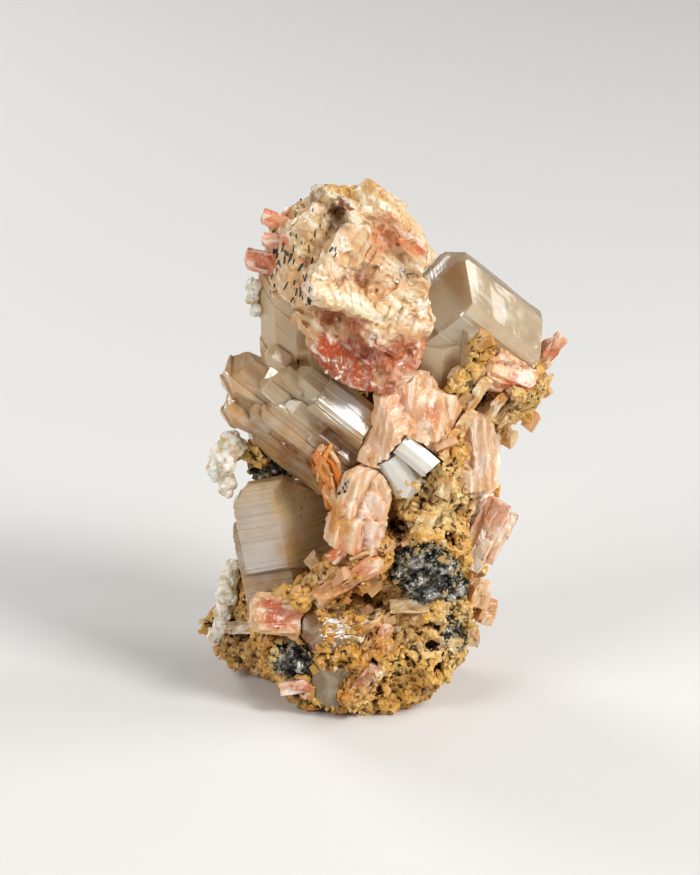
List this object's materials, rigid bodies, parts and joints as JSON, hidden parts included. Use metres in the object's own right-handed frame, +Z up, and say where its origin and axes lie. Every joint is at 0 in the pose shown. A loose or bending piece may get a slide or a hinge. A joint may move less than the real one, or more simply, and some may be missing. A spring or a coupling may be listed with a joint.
{
  "type": "cerussite specimen",
  "caption": "Champagne cerussite crystals with pink barite plates and dark galena on a crumbly rust-yellow matrix, standing on its flat foot.",
  "frame": {"origin": "middle of the footprint box, on the plane of the flat foot", "axes": "+Z up, along the specimen's height; -Y towards the side with the striped crystal face; +X to the right seen from there"},
  "size_m": [0.0506, 0.034, 0.0744],
  "materials": {
    "cerussite": "translucent, champagne brown, adamantine lustre",
    "barite": "pink to salmon, waxy to pearly cleavage",
    "galena": "dark grey, metallic to dull tarnish",
    "calcite": "white, satin beads",
    "matrix": "rusty yellow limonite, matte and crumbly"
  },
  "bodies": {
    "root": {"cerussite_left": "cerussite", "cerussite_cluster": "cerussite", "cerussite_right": "cerussite", "cerussite_small": "cerussite", "cerussite_foot": "cerussite", "cerussite_base": "cerussite", "cerussite_back_high": "cerussite", "cerussite_back_low": "cerussite", "barite_head": "barite", "barite_blade_front": "barite", "barite_blade_low": "barite", "barite_blades_middle": "barite", "barite_splinters": "barite", "barite_ledge_blade": "barite", "barite_blades_right": "barite", "barite_patch_right": "barite", "barite_tip": "barite", "barite_plates_side": "barite", "barite_knobs_side": "barite", "barite_back_top": "barite", "barite_back_middle": "barite", "barite_back_low": "barite", "barite_back_side": "barite", "galena_front": "galena", "galena_side": "galena", "galena_low": "galena", "galena_cavity": "galena", "galena_right": "galena", "calcite_left": "calcite", "calcite_top": "calcite", "calcite_low": "calcite", "matrix": "matrix"}
  },
  "joints": []
}
